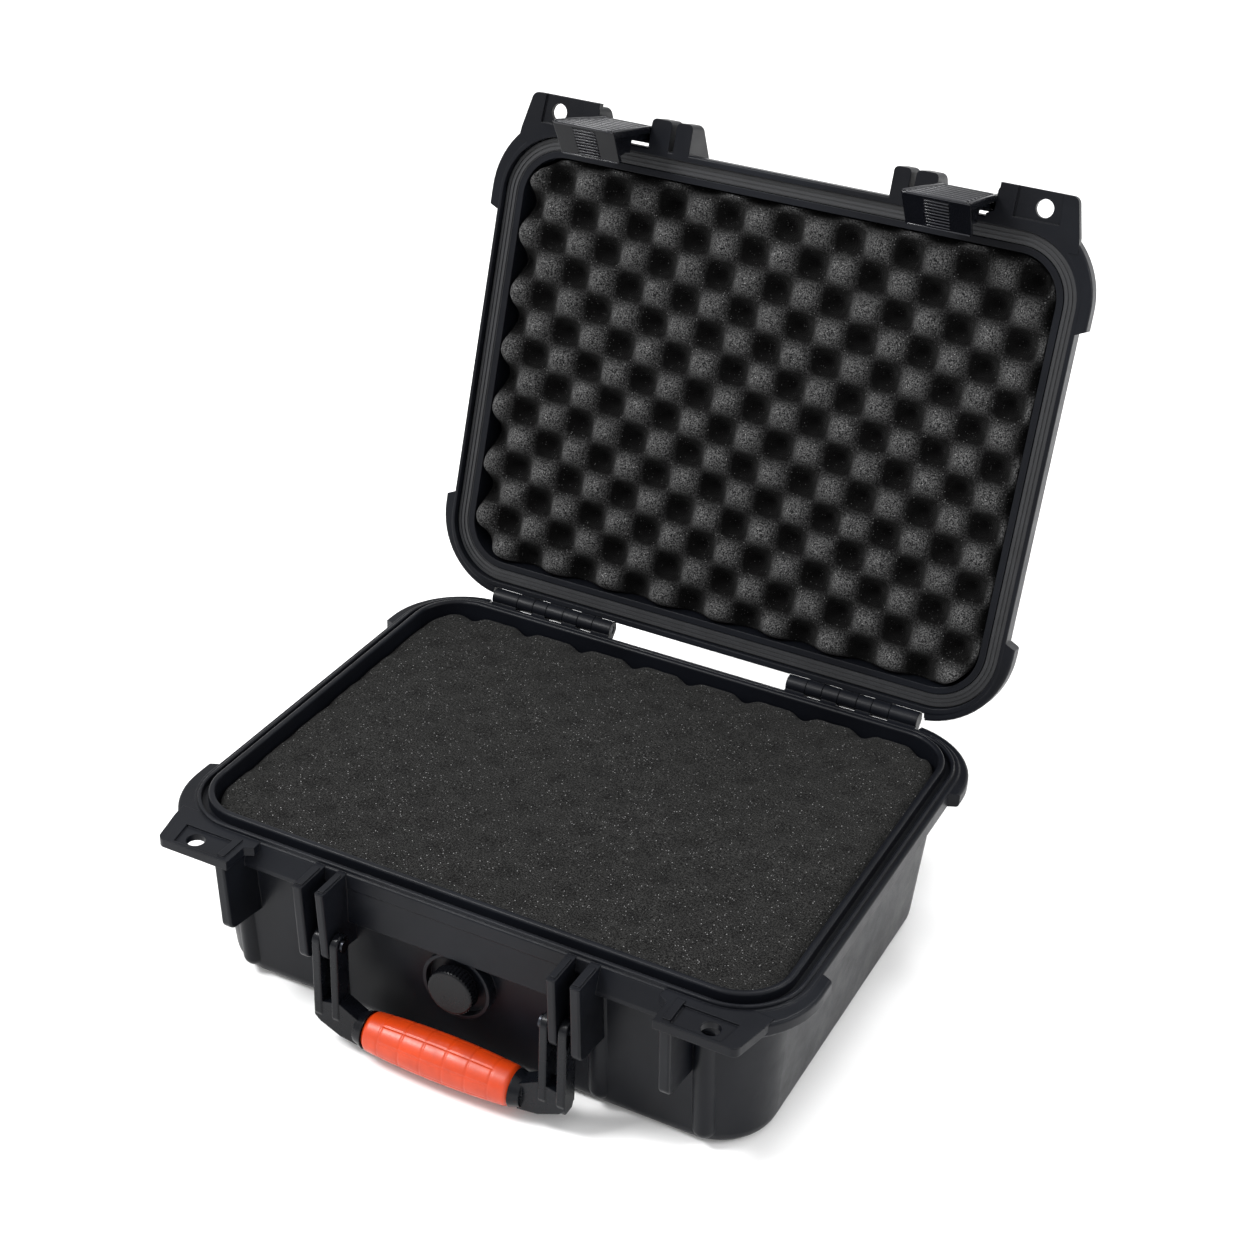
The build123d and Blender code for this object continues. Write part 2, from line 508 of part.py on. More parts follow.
def make_valve_knob():
    """Knurled cap with a shallow domed face."""
    teeth = 40
    knob = rod_y(0, VALVE_Z, VALVE_KNOB_R, -129.4, VALVE_POCKET_FLOOR_Y - 3.6)
    knob = soft_edges(knob, lambda e: e.center().Y < -129, 1.4)
    for i in range(teeth):
        turn = radians(360 * i / teeth)
        x, z = (VALVE_KNOB_R + 0.25) * cos(turn), VALVE_Z + (VALVE_KNOB_R + 0.25) * sin(turn)
        knob -= rod_y(x, z, 0.65, -131, -120)
    return knob - rod_y(0, VALVE_Z, STUB_R + RUNNING, -127.6, -120)


# ---------------------------------------------------------------- foam
def make_foam_layers():
    """Flat foam sheets stacked in the base, cut to follow the drafted wall and clear of the mouth."""
    layers = {}
    z = WALL
    for name, thick in FOAM_LAYERS.items():
        layers[name] = (z, z + thick)
        z += thick
    layers["foam_top_layer"] = (z, FOAM_TOP_Z)
    made = {}
    for name, (z0, z1) in layers.items():
        mouth = slab(TONGUE_HALF[0] - TONGUE_W - FOAM_GAP, TONGUE_HALF[1] - TONGUE_W - FOAM_GAP,
                     TONGUE_R - TONGUE_W, z0, z1)
        sheet = drafted_block(z0, z1, inset=WALL + FOAM_GAP) & mouth
        sheet -= rod_y(0, VALVE_Z, NUT_R + 3, -125, -107.5)
        if z0 == WALL:
            sheet = fillet(sheet.faces().sort_by(Axis.Z)[0].edges(), 6.4)
        made[name] = sheet
    return made


def make_lid_foam():
    """Plain block that the convoluted lid foam fills."""
    half_x = TONGUE_HALF[0] + SEAL_INNER - LIP_W - 1.0
    half_y = TONGUE_HALF[1] + SEAL_INNER - LIP_W - 1.0
    block = slab(half_x, half_y, TONGUE_R + SEAL_INNER - LIP_W, LID_FOAM_FACE_Z, CASE_HEIGHT - 1.8 - WALL, taper=LID_DRAFT)
    return fillet(block.faces().sort_by(Axis.Z)[-1].edges(), 8.0)


# ---------------------------------------------------------------- write the parts
def main():
    os.makedirs("parts", exist_ok=True)
    hinge_pin = rod_x(HINGE_Y, HINGE_Z, HINGE_PIN_R, KNUCKLE_EDGES[0] + 0.5, KNUCKLE_EDGES[-1] - 2.5)
    nodes = {
        "base_shell": make_base_shell(),
        "lid_shell": swing_open(make_lid_shell()),
        "lid_gasket": swing_open(make_lid_gasket()),
        "lid_foam": swing_open(make_lid_foam()),
        "handle_frame": make_handle_frame(),
        "handle_grip": make_handle_grip(),
        "valve_body": make_valve_body(),
        "valve_o_ring": make_valve_o_ring(),
        "valve_nut": make_valve_nut(),
        "valve_knob": make_valve_knob(),
    }
    nodes.update(make_foam_layers())
    paired = {
        "hinge_pin": hinge_pin,
        "handle_pin": make_handle_pin(),
        "latch": swing_open(make_latch()),
        "latch_pin": swing_open(make_latch_pin()),
    }
    for name, right in paired.items():
        nodes[name + "_right"] = right
        nodes[name + "_left"] = mirror(right, about=Plane.YZ)
    for name, shape in nodes.items():
        export_step(shape, f"parts/{name}.step")
        print(f"{name:20s} solids {len(shape.solids())} volume {shape.volume / 1000:.1f} cm3")


main()
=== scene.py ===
# %% [markdown]
# # Finishing a hard equipment case
# The shells, latches, handle and hinge arrive as finished solids. This file gives every one of them a real
# surface, makes the soft pieces that solids cannot show (egg-crate foam, block foam, a ribbed grip), and lights
# the open case in a plain studio. Each step prints what it made, so a reader can follow the sizes.

# %% Load the case
import bmesh
import bpy
import json
from math import cos, pi, radians, sin
from mathutils import Matrix, Vector, noise


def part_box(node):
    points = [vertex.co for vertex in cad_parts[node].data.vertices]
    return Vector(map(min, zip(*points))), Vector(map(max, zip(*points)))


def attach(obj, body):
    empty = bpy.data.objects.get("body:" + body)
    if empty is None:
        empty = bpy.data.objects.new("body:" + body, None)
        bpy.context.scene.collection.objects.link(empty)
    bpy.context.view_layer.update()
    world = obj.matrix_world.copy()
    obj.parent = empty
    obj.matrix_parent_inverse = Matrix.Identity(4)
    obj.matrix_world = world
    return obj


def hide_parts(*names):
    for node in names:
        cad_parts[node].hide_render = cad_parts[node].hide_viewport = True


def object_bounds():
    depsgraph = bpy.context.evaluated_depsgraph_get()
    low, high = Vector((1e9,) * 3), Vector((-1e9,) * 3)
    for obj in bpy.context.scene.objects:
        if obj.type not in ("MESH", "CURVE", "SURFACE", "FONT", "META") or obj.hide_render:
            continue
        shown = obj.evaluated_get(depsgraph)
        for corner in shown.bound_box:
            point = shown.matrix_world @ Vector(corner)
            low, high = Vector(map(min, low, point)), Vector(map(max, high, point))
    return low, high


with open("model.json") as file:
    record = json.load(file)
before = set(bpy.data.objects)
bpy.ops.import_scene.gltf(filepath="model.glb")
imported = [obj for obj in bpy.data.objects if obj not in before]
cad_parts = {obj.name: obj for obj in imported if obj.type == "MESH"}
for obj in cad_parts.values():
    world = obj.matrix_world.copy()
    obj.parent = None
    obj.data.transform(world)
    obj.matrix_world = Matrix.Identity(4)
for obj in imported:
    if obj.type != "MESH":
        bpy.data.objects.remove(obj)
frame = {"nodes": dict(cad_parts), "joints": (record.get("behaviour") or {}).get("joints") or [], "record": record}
CAD_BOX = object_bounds()
NODES = frame["nodes"]
MM = 0.001
print("solids", len(NODES), "box mm", [[round(v / MM) for v in corner] for corner in CAD_BOX])

# %% [markdown]
# ## The open lid
# The lid is stored open. Its own pieces are easier to draw with the lid closed, lying flat over the base, and are
# then swung open about the hinge. The hinge joint says where its axis is and how far the lid turns.

# %% Hinge turn
HINGE = next(joint for joint in frame["joints"] if joint["name"] == "lid_hinge")
HINGE_AT = Matrix.Translation(HINGE["pos_m"])
OPEN_ANGLE = radians(HINGE["range_deg"][1])
SWING_OPEN = HINGE_AT @ Matrix.Rotation(-OPEN_ANGLE, 4, "X") @ HINGE_AT.inverted()
SWING_CLOSED = SWING_OPEN.inverted()


def closed_box(name):
    """Lowest and highest corner of a lid solid when the lid lies closed."""
    points = [SWING_CLOSED @ vertex.co for vertex in NODES[name].data.vertices]
    low = Vector([min(p[axis] for p in points) for axis in range(3)])
    high = Vector([max(p[axis] for p in points) for axis in range(3)])
    return low, high


lid_low, lid_high = closed_box("lid_foam")
print("lid foam mm, closed:", [round(v / MM, 1) for v in (*lid_low, *lid_high)])

# %% [markdown]
# ## Node helpers
# Every surface is made of nodes. One short function adds a node, fills its sockets and links whatever is already
# a socket, so a material reads as a list of steps. Colours are written as the usual hex values and turned into
# the linear numbers that light needs.

# %% Node helpers
def linear(hex_text):
    """Linear colour of an sRGB hex value."""
    parts = [int(hex_text[i:i + 2], 16) / 255 for i in (1, 3, 5)]
    return (*[p / 12.92 if p <= 0.04045 else ((p + 0.055) / 1.055) ** 2.4 for p in parts], 1.0)


def add_node(tree, kind, sockets=None, **settings):
    """Add a shader node; a socket's value is a plain value or another node's output."""
    node = tree.nodes.new("ShaderNode" + kind)
    for name, value in settings.items():
        setattr(node, name, value)
    for name, value in (sockets or {}).items():
        if isinstance(value, bpy.types.NodeSocket):
            tree.links.new(value, node.inputs[name])
        else:
            node.inputs[name].default_value = value
    return node


def new_material(name):
    """Empty node material; returns it with its tree and its one surface node."""
    material = bpy.data.materials.new(name)
    material.use_nodes = True
    return material, material.node_tree, material.node_tree.nodes["Principled BSDF"]


def plug(tree, surface, **sockets):
    """Fill the surface node's sockets; underscores in a name stand for spaces."""
    for name, value in sockets.items():
        socket = surface.inputs[name.replace("_", " ")]
        if isinstance(value, bpy.types.NodeSocket):
            tree.links.new(value, socket)
        else:
            socket.default_value = value


def object_place(tree):
    """Position on the object in metres."""
    return add_node(tree, "TexCoord").outputs["Object"]


def cell_noise(tree, size_mm, detail=2.0, roughness=0.5):
    """Soft noise whose lumps are about size_mm across."""
    return add_node(tree, "TexNoise", {"Vector": object_place(tree), "Scale": 1 / (size_mm * MM),
                                       "Detail": detail, "Roughness": roughness}).outputs["Fac"]


def remap(tree, value, from_low, from_high, to_low, to_high):
    """Stretch a value from one range to another, held at both ends."""
    return add_node(tree, "MapRange", {"Value": value, "From Min": from_low, "From Max": from_high,
                                       "To Min": to_low, "To Max": to_high}).outputs["Result"]


def blend_colors(tree, share, first, second):
    """Mix of two colours by share."""
    mix = add_node(tree, "Mix", data_type="RGBA")
    for socket, value in ((mix.inputs["Factor"], share), (mix.inputs[6], first), (mix.inputs[7], second)):
        if isinstance(value, bpy.types.NodeSocket):
            tree.links.new(value, socket)
        else:
            socket.default_value = value
    return mix.outputs[2]


print("helpers ready")

# %% [markdown]
# ## Moulded plastic
# The shells are black polypropylene out of a sand-textured mould. The grain is about 0.25 mm on the real case.
# The look needs three things: a blue-black body colour with slow drift, a roughness that wavers because flat
# panels polish a little where hands rub, and a fine pebble bump. A rounded-edge node catches light on the sharp
# edges, which a real mould always leaves slightly round.

# %% Moulded plastic
def moulded_plastic(name, body, worn, rough, grain_mm, grain_depth_mm, edge_mm, shine):
    """Textured injection-moulded plastic."""
    material, tree, surface = new_material(name)
    drift = cell_noise(tree, 60, 3.0)
    rubbed = cell_noise(tree, 14, 4.0, 0.65)
    pebbles = cell_noise(tree, grain_mm, 3.0, 0.6)
    color = blend_colors(tree, remap(tree, drift, 0.3, 0.7, 0.0, 1.0), linear(body), linear(worn))
    roughness = remap(tree, rubbed, 0.3, 0.75, rough - 0.05, rough + 0.07)
    rounded = add_node(tree, "Bevel", {"Radius": edge_mm * MM}, samples=6).outputs["Normal"]
    bump = add_node(tree, "Bump", {"Height": pebbles, "Distance": grain_depth_mm * MM, "Strength": 0.6,
                                   "Normal": rounded})
    plug(tree, surface, Base_Color=color, Roughness=roughness, Normal=bump.outputs["Normal"],
         Specular_IOR_Level=shine, IOR=1.49)
    return material


# the real grain is 0.25 mm; drawn at 0.7 mm so that it does not shimmer
SHELL = moulded_plastic("shell polypropylene, sand-textured mould", "#0A0B0F", "#111318", 0.36, 0.7, 0.08, 0.7,
                        0.12)
LATCH = moulded_plastic("latch nylon, satin mould", "#07080B", "#0B0C10", 0.20, 1.2, 0.02, 0.4, 0.13)
HANDLE = moulded_plastic("handle nylon, satin mould", "#08090D", "#0E1014", 0.26, 0.9, 0.03, 0.6, 0.15)
VALVE = moulded_plastic("valve nylon, fine matt mould", "#070709", "#0C0D10", 0.24, 0.6, 0.03, 0.4, 0.15)
# painted highlight: the ridges are the latch's own nylon, given a lighter colour that stands in for the light they
# catch; they are also smoother and shinier
RIDGE = moulded_plastic("latch nylon, ridges with painted highlight", "#141519", "#1D1E23", 0.18, 1.2, 0.01, 0.3,
                        0.4)
print("plastics", [m.name for m in (SHELL, LATCH, HANDLE, VALVE, RIDGE)])

# %% [markdown]
# ## Rubber and steel
# The grip is a soft orange-red rubber moulded over the handle: a satin skin, a faint darkening in broad patches
# from handling, a little sheen. The seal is a grey extruded rubber, dusty in places. Hinge, latch and handle pins
# are blackened drawn steel with fine lines along the rod.

# %% Rubber and steel
def soft_rubber(name, fresh, handled, rough, grain_mm, grain_depth_mm, sheen):
    """Satin rubber with slow handling marks."""
    material, tree, surface = new_material(name)
    patches = remap(tree, cell_noise(tree, 9, 4.0, 0.6), 0.35, 0.7, 0.0, 1.0)
    color = blend_colors(tree, patches, linear(fresh), linear(handled))
    grain = cell_noise(tree, grain_mm, 3.0, 0.6)
    bump = add_node(tree, "Bump", {"Height": grain, "Distance": grain_depth_mm * MM, "Strength": 0.5})
    plug(tree, surface, Base_Color=color, Roughness=remap(tree, patches, 0.0, 1.0, rough, rough + 0.12),
         Normal=bump.outputs["Normal"], Specular_IOR_Level=0.45, Sheen_Weight=sheen, Sheen_Roughness=0.5)
    return material


def drawn_steel(name, dark, pale):
    """Steel rod with fine lines round it."""
    material, tree, surface = new_material(name)
    stretched = add_node(tree, "Mapping", {"Vector": object_place(tree), "Scale": (4.0, 1.0, 1.0)})
    lines = add_node(tree, "TexNoise", {"Vector": stretched.outputs["Vector"], "Scale": 900.0, "Detail": 2.0})
    grey = blend_colors(tree, lines.outputs["Fac"], linear(dark), linear(pale))
    bump = add_node(tree, "Bump", {"Height": lines.outputs["Fac"], "Distance": 0.02 * MM, "Strength": 0.4})
    roughness = remap(tree, lines.outputs["Fac"], 0, 1, 0.24, 0.4)
    plug(tree, surface, Base_Color=grey, Metallic=1.0, Roughness=roughness,
         Normal=bump.outputs["Normal"])
    return material


GRIP = soft_rubber("grip rubber, overmoulded satin", "#BA380A", "#A83008", 0.32, 0.8, 0.04, 0.0)
SEAL = soft_rubber("seal rubber, extruded", "#1E1F22", "#141518", 0.36, 0.9, 0.03, 0.05)
STEEL = drawn_steel("pin steel, drawn rod, blackened", "#232428", "#3C3E43")
print("rubber and steel", [m.name for m in (GRIP, SEAL, STEEL)])

# %% [markdown]
# ## Foam
# Open-cell polyurethane is a sponge of tiny struts. Close up it shows a fine salt-and-pepper grain, a scatter of
# bright struts that happen to face the light, and very dark hollows. The dark hollows are painted shade: a value
# kept on each vertex grows deep in the hollows, darkens the colour there and dims the bright struts.

# %% Foam
def open_cell_foam(name, struts, cells, painted_shade_color, sparkle):
    """Charcoal sponge; the real cells are 0.4 mm and are drawn at 0.8 mm so that they read."""
    material, tree, surface = new_material(name)
    place = object_place(tree)
    grain = cell_noise(tree, 0.8, 2.0, 0.8)
    mottled = cell_noise(tree, 6, 3.0, 0.6)
    painted_shade = add_node(tree, "Attribute", attribute_name="painted_shade").outputs["Fac"]
    pepper = blend_colors(tree, remap(tree, grain, 0.42, 0.62, 0.0, 1.0), linear(cells), linear(struts))
    patchy = blend_colors(tree, remap(tree, mottled, 0.35, 0.7, 0.0, 0.35), pepper, linear(cells))
    # painted shade: the colour goes to the near-black shade colour where the vertex value says a point lies deep
    # in a hollow
    shaded = blend_colors(tree, remap(tree, painted_shade, 0.22, 0.62, 0.0, 1.0), patchy, linear(painted_shade_color))
    specks = add_node(tree, "TexVoronoi", {"Vector": place, "Scale": 1 / (1.1 * MM)})
    lucky = remap(tree, add_node(tree, "SeparateColor", {"Color": specks.outputs["Color"]}).outputs["Red"],
                  1.0 - sparkle, 1.0, 0.0, 1.0)
    small = remap(tree, specks.outputs["Distance"], 0.12, 0.26, 1.0, 0.0)
    # the bright struts are dimmed where the painted shade is
    raised = remap(tree, painted_shade, 0.3, 0.8, 1.0, 0.25)
    spot = add_node(tree, "Math", {0: lucky, 1: small}, operation="MULTIPLY").outputs["Value"]
    bright = add_node(tree, "Math", {0: spot, 1: raised}, operation="MULTIPLY").outputs["Value"]
    color = blend_colors(tree, bright, shaded, linear("#A8A8A8"))
    height = add_node(tree, "Math", {0: grain, 1: mottled}, operation="ADD").outputs["Value"]
    bump = add_node(tree, "Bump", {"Height": height, "Distance": 0.9 * MM, "Strength": 0.8})
    plug(tree, surface, Base_Color=color, Roughness=0.95, Specular_IOR_Level=0.04, Sheen_Weight=0.03,
         Sheen_Roughness=0.6, Normal=bump.outputs["Normal"])
    return material


# the fourth colour of each foam is the near-black painted shade of its hollows
LID_FOAM = open_cell_foam("lid foam, open-cell polyurethane, egg-crate cut", "#606060", "#0E0E0F", "#020202", 0.24)
BASE_FOAM = open_cell_foam("base foam, open-cell polyurethane, flat cut", "#2C2C2B", "#030303", "#020202", 0.22)
print("foams", [m.name for m in (LID_FOAM, BASE_FOAM)])

# %% [markdown]
# ## Dress the solids
# Each solid keeps its shape and takes the surface that its real piece has.

# %% Dress the solids
SURFACES = {
    "shell_plastic": SHELL,
    "latch_plastic": LATCH,
    "handle_plastic": HANDLE,
    "trim_plastic": VALVE,
    "grip_rubber": GRIP,
    "seal_rubber": SEAL,
    "pin_steel": STEEL,
    "convoluted_foam": LID_FOAM,
    "block_foam": BASE_FOAM,
}


def dress(node, material):
    """Give every material slot of a solid one surface."""
    if not node.material_slots:
        node.data.materials.append(material)
    for slot in node.material_slots:
        slot.material = material


for subpart in frame["record"]["subparts"]:
    dress(NODES[subpart["node"]], SURFACES[subpart["material_slot"]])

# %% [markdown]
# ## Sheets of foam
# Both kinds of foam start as the same thing: a rounded block whose face is a fine grid. A height rule moves the
# face and gives each point an amount of painted shade, kept on the vertex and carried down the sides. The grid is
# bent into round corners by squeezing each corner square into a quarter disc, so the rows of the grid stay even.

# %% Foam block maker
def round_corner(x, y, half_x, half_y, radius):
    """Move a point of the full rectangle onto the rectangle with round corners."""
    u = (abs(x) - half_x + radius) / radius
    v = (abs(y) - half_y + radius) / radius
    if u <= 0 or v <= 0:
        return x, y
    round_u = u * (1 - v * v / 2) ** 0.5
    round_v = v * (1 - u * u / 2) ** 0.5
    new_x = half_x - radius + radius * round_u
    new_y = half_y - radius + radius * round_v
    return (new_x if x > 0 else -new_x), (new_y if y > 0 else -new_y)


def foam_block(name, half, radius, face_z, back_z, step, rule, back_half=None):
    """Closed block: a gridded face at face_z shaped by rule(x, y, edge), plain sides and a flat back."""
    back_half = back_half or half
    columns = round(2 * half[0] / step)
    rows = round(2 * half[1] / step)
    mesh = bmesh.new()
    painted_shade_layer = mesh.verts.layers.float.new("painted_shade")
    inward = 1 if back_z > face_z else -1
    grid = []
    for j in range(rows + 1):
        line = []
        for i in range(columns + 1):
            flat_x = half[0] * (2 * i / columns - 1)
            flat_y = half[1] * (2 * j / rows - 1)
            x, y = round_corner(flat_x, flat_y, *half, radius)
            edge = min(half[0] - abs(flat_x), half[1] - abs(flat_y))
            # dark is the painted shade of the point; it is kept on the vertex and copied down the sides
            drop, dark = rule(x, y, edge)
            vertex = mesh.verts.new((x, y, face_z + inward * drop))
            vertex[painted_shade_layer] = dark
            line.append(vertex)
        grid.append(line)
    for low, high in zip(grid, grid[1:]):
        for a, b, c, d in zip(low, low[1:], high[1:], high):
            mesh.faces.new((a, b, c, d))
    border = grid[0] + [line[-1] for line in grid[1:]] + grid[-1][-2::-1] + [line[0] for line in grid[-2:0:-1]]
    ring = border
    for share in (0.04, 0.3, 0.97, 1.0):
        scale = 1.0 if share < 1.0 else 0.985
        next_ring = []
        for vertex in border:
            x = vertex.co.x * (1 + (back_half[0] / half[0] - 1) * share) * scale
            y = vertex.co.y * (1 + (back_half[1] / half[1] - 1) * share) * scale
            below = mesh.verts.new((x, y, vertex.co.z + (back_z - vertex.co.z) * share))
            below[painted_shade_layer] = vertex[painted_shade_layer]
            next_ring.append(below)
        count = len(border)
        for k in range(count):
            mesh.faces.new((ring[k], ring[(k + 1) % count], next_ring[(k + 1) % count], next_ring[k]))
        ring = next_ring
    mesh.faces.new(ring)
    bmesh.ops.recalc_face_normals(mesh, faces=mesh.faces)
    data = bpy.data.meshes.new(name)
    mesh.to_mesh(data)
    mesh.free()
    for face in data.polygons:
        face.use_smooth = True
    piece = bpy.data.objects.new(name, data)
    bpy.context.scene.collection.objects.link(piece)
    return piece


def lump(x, y, size, seed):
    """Smooth random value from -1 to 1 with lumps of a size in metres."""
    return noise.noise(Vector((x / size, y / size, seed)))


def rolled(edge, width, drop):
    """How far a foam face falls away within width of its cut edge."""
    if edge >= width:
        return 0.0
    return drop * (1 - (edge / width)) ** 2


print("foam maker ready")

# %% [markdown]
# ## Egg-crate lid foam
# Convoluted foam is cut by toothed rollers, which leave staggered peaks: a row every 16 mm, peaks 33 mm apart in
# the row, and each row shifted by half a step. The face is the product of two cosines, with the tops flattened a
# little, because foam relaxes after the cut.

# %% Egg-crate lid foam
PEAK_STEP_X, PEAK_STEP_Y = 16.7 * MM, 16.0 * MM
PEAK_AT = (3.5 * MM, -21.5 * MM)
CRATE_DEPTH = 17.0 * MM
FINE = 2.0 * MM


def egg_crate(x, y, edge):
    """Drop below the peaks and painted shade at a point of the lid foam."""
    wander = 1.2 * MM * lump(x, y, 0.04, 3.1)
    wave = cos(pi * (x + wander - PEAK_AT[0]) / PEAK_STEP_X) * cos(pi * (y - wander - PEAK_AT[1]) / PEAK_STEP_Y)
    valley = (1 - wave) / 2
    rough = 0.35 * MM * lump(x, y, 0.004, 8.0) + 0.9 * MM * lump(x, y, 0.025, 1.7)
    drop = max(0.0, CRATE_DEPTH * valley ** 1.15 + rough + 0.6 * MM)
    # the second value is painted shade, largest in the valleys between the peaks
    return drop + rolled(edge, 4 * MM, 3 * MM), min(1.0, valley * 1.05)


lid_half = ((lid_high.x - lid_low.x) / 2 - 0.3 * MM, (lid_high.y - lid_low.y) / 2 - 0.3 * MM)
lid_foam = foam_block("lid_foam_egg_crate", lid_half, 24 * MM, lid_low.z, lid_high.z - 0.5 * MM, FINE, egg_crate,
                      back_half=(lid_half[0] - 3.2 * MM, lid_half[1] - 3.2 * MM))
lid_foam.data.transform(SWING_OPEN)
lid_foam.data.materials.append(LID_FOAM)
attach(lid_foam, "lid")
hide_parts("lid_foam")
print("egg-crate faces", len(lid_foam.data.polygons))

# %% [markdown]
# ## Block foam in the base
# Three flat sheets fill the base. The top one shows: a cut face that is very slightly uneven, with faint shallow
# prints where the lid's peaks press on it, and small open crescents along the back edge where those peaks
# reach over the cut.

# %% Block foam in the base
BACK_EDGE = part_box("foam_top_layer")[1].y


def pressed_face(x, y, edge):
    """Face of the top sheet: faint prints of the lid's peaks, notches along the back and a soft edge, with painted
    shade in the prints and the notches.
    """
    wander = 1.5 * MM * lump(x, y, 0.03, 6.4)
    across = cos(pi * (x + wander - PEAK_AT[0]) / PEAK_STEP_X)
    wave = max(0.0, across * cos(pi * (y - wander - PEAK_AT[1]) / PEAK_STEP_Y))
    dent = 0.8 * MM * wave
    notch = max(0.0, across) ** 2 * max(0.0, 1 - (BACK_EDGE - y) / (9 * MM))
    rough = 0.25 * MM * lump(x, y, 0.005, 5.0) + 0.5 * MM * lump(x, y, 0.05, 2.2)
    drop = 0.8 * MM + dent + 4 * MM * notch + rough + rolled(edge, 5 * MM, 1.6 * MM)
    # the second value is painted shade: a little darker in the prints, much darker in the notches along the back
    return drop, 0.22 + 0.12 * wave + 0.4 * notch


def cut_face(x, y, edge):
    """Plain cut face of a hidden sheet."""
    return 0.3 * MM + 0.2 * MM * lump(x, y, 0.02, 4.0) + rolled(edge, 3 * MM, 0.8 * MM), 0.2


WALL_LEAN = (0.062, 0.0899)  # how much narrower each half gets per unit of depth


def base_sheet(node, rule, step):
    """Foam sheet that stands for one block of the base, narrower below because the walls lean."""
    low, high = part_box(node)
    half = ((high.x - low.x) / 2 - 0.2 * MM, (high.y - low.y) / 2 - 0.2 * MM)
    foot = [side - (high.z - low.z) * lean for side, lean in zip(half, WALL_LEAN)]
    piece = foam_block(node + "_cut", half, 25 * MM, high.z, low.z + 0.1 * MM, step, rule, back_half=foot)
    piece.data.materials.append(BASE_FOAM)
    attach(piece, "base")
    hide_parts(node)
    return piece


sheets = [base_sheet("foam_top_layer", pressed_face, FINE), base_sheet("foam_middle_layer", cut_face, 10 * MM),
          base_sheet("foam_base_pad", cut_face, 10 * MM)]
print("base sheets", [(piece.name, len(piece.data.polygons)) for piece in sheets])

# %% [markdown]
# ## Ribbed grip
# The grip is a barrel, fatter in the middle. Thin grooves run along it, about a third of a millimetre deep, and
# a few cross grooves divide it into blocks. It is turned as one surface: for each step along the barrel and round
# it, the radius is the barrel's curve less whatever groove passes there.

# %% Ribbed grip
GRIP_LINES = 8
CROSS_LINES = 6
CROSS_SPAN = 1.5        # first to last cross groove, in half lengths of the grip
STEPS_PER_LINE = 24
GROOVE = 0.35 * MM


def bell(value, width):
    """Smooth bump of height 1 at value 0."""
    return max(0.0, 1 - (value / width) ** 2) ** 2


def ribbed_grip():
    """Turned rubber barrel with long grooves and cross grooves."""
    low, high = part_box("handle_grip")
    middle = (low + high) / 2
    half = (high.x - low.x) / 2
    radius_mid = (high.z - low.z) / 2 - 0.35 * MM
    radius_end = radius_mid - 1.8 * MM
    bore = 6.3 * MM
    along, around = 160, GRIP_LINES * STEPS_PER_LINE
    mesh = bmesh.new()
    rings = []
    stations = [(-half, bore), (-half, radius_end - 1.6 * MM)]
    for i in range(along + 1):
        stations.append((half * (2 * i / along - 1) * 0.985, None))
    stations += [(half, radius_end - 1.6 * MM), (half, bore)]
    for x, fixed in stations:
        ring = []
        for k in range(around):
            turn = 2 * pi * k / around
            if fixed is None:
                share = x / half
                radius = radius_mid - (radius_mid - radius_end) * share * share
                radius -= 1.3 * MM * max(0.0, (abs(share) - 0.93) / 0.055) ** 2
                line = bell(((k / STEPS_PER_LINE) % 1.0) - 0.5, 0.07)
                cross = sum(bell(x - half * CROSS_SPAN * (n / (CROSS_LINES - 1) - 0.5), 0.7 * MM)
                            for n in range(CROSS_LINES))
                radius -= GROOVE * max(line * (abs(share) < CROSS_SPAN / 2 + 0.01), min(1.0, cross))
            else:
                radius = fixed
            around_axis = Vector((x, radius * cos(turn), radius * sin(turn)))
            ring.append(mesh.verts.new(middle + around_axis))
        rings.append(ring)
    for first, second in zip(rings, rings[1:] + rings[:1]):
        for k in range(around):
            mesh.faces.new((first[k], first[(k + 1) % around], second[(k + 1) % around], second[k]))
    bmesh.ops.recalc_face_normals(mesh, faces=mesh.faces)
    data = bpy.data.meshes.new("ribbed_grip")
    mesh.to_mesh(data)
    mesh.free()
    for face in data.polygons:
        face.use_smooth = True
    piece = bpy.data.objects.new("ribbed_grip", data)
    bpy.context.scene.collection.objects.link(piece)
    piece.data.materials.append(GRIP)
    return piece


grip = ribbed_grip()
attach(grip, "handle")
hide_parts("handle_grip")
print("grip faces", len(grip.data.polygons))

# %% [markdown]
# ## Latch ridges
# A thumb needs something to pull on, so the latch face carries eight ridges across it with a raised border at each
# side, and the finger lip has a block of finer lines between two bead lines. Each ridge is a bar with a rounded
# back. The places are read off the closed latch: its front face leans a little, so every bar follows that line.

# %% Latch ridges
FACE_TOP, FACE_FOOT = Vector((0, -138.6, 104.0)) * MM, Vector((0, -135.0, 46.5)) * MM
LIP_TAIL = Vector((0, -118.9, 61.4)) * MM
FACE_TOP_HALF, FACE_FOOT_HALF, LIP_TAIL_HALF = 15.0 * MM, 17.6 * MM, 16.6 * MM


